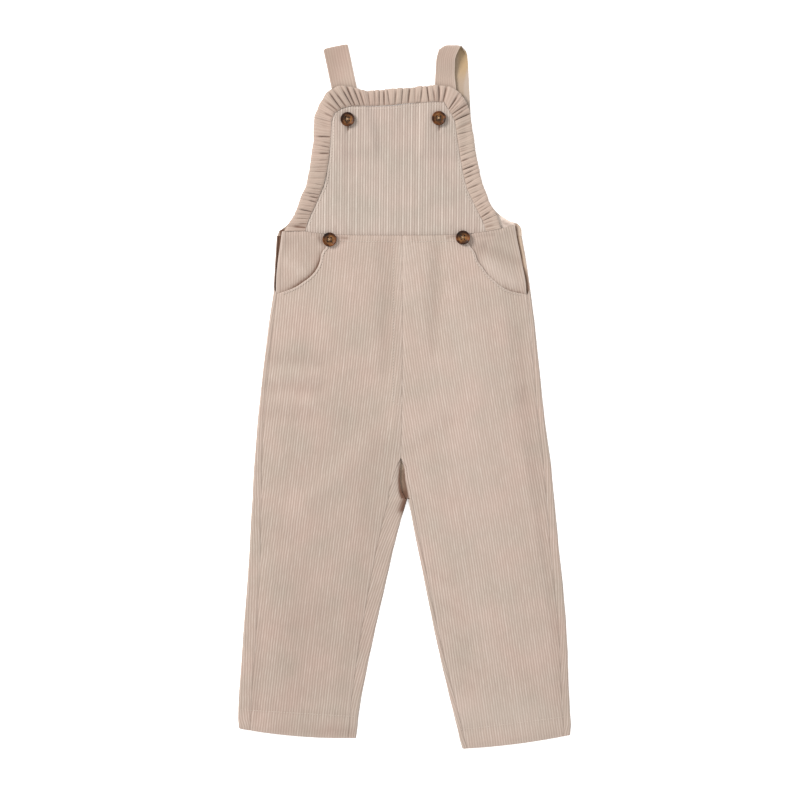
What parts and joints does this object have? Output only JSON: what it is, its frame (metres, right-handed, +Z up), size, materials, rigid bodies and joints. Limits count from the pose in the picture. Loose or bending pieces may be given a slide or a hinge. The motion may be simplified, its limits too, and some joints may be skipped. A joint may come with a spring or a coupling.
{
  "type": "toddler bib overalls laid flat",
  "caption": "Toddler bib overalls in fine corduroy, laid flat front up, with a gathered ruffle round the bib, buttoned straps, scooped front pockets and straight legs.",
  "frame": {"origin": "on the surface that the garment lies on, under the middle of its outline", "axes": "+X to the viewer's right across the front, +Y up the garment from the hems to the straps, +Z up from the surface, out of the front"},
  "size_m": [0.333, 0.7046, 0.0097],
  "materials": {
    "corduroy": "fine cotton corduroy in pale pinkish beige, matt, wales about 2.6 mm apart",
    "button": "polished tortoiseshell-brown resin"
  },
  "bodies": {
    "root": {"leg_front_left": "corduroy", "leg_front_right": "corduroy", "leg_back_left": "corduroy", "leg_back_right": "corduroy", "hip_left": "corduroy", "hip_right": "corduroy", "bib_front": "corduroy", "bib_back": "corduroy", "ruffle": "corduroy", "strap_left": "corduroy", "strap_right": "corduroy", "button_bib_left": "button", "button_bib_right": "button", "button_waist_left": "button", "button_waist_right": "button"}
  },
  "joints": []
}
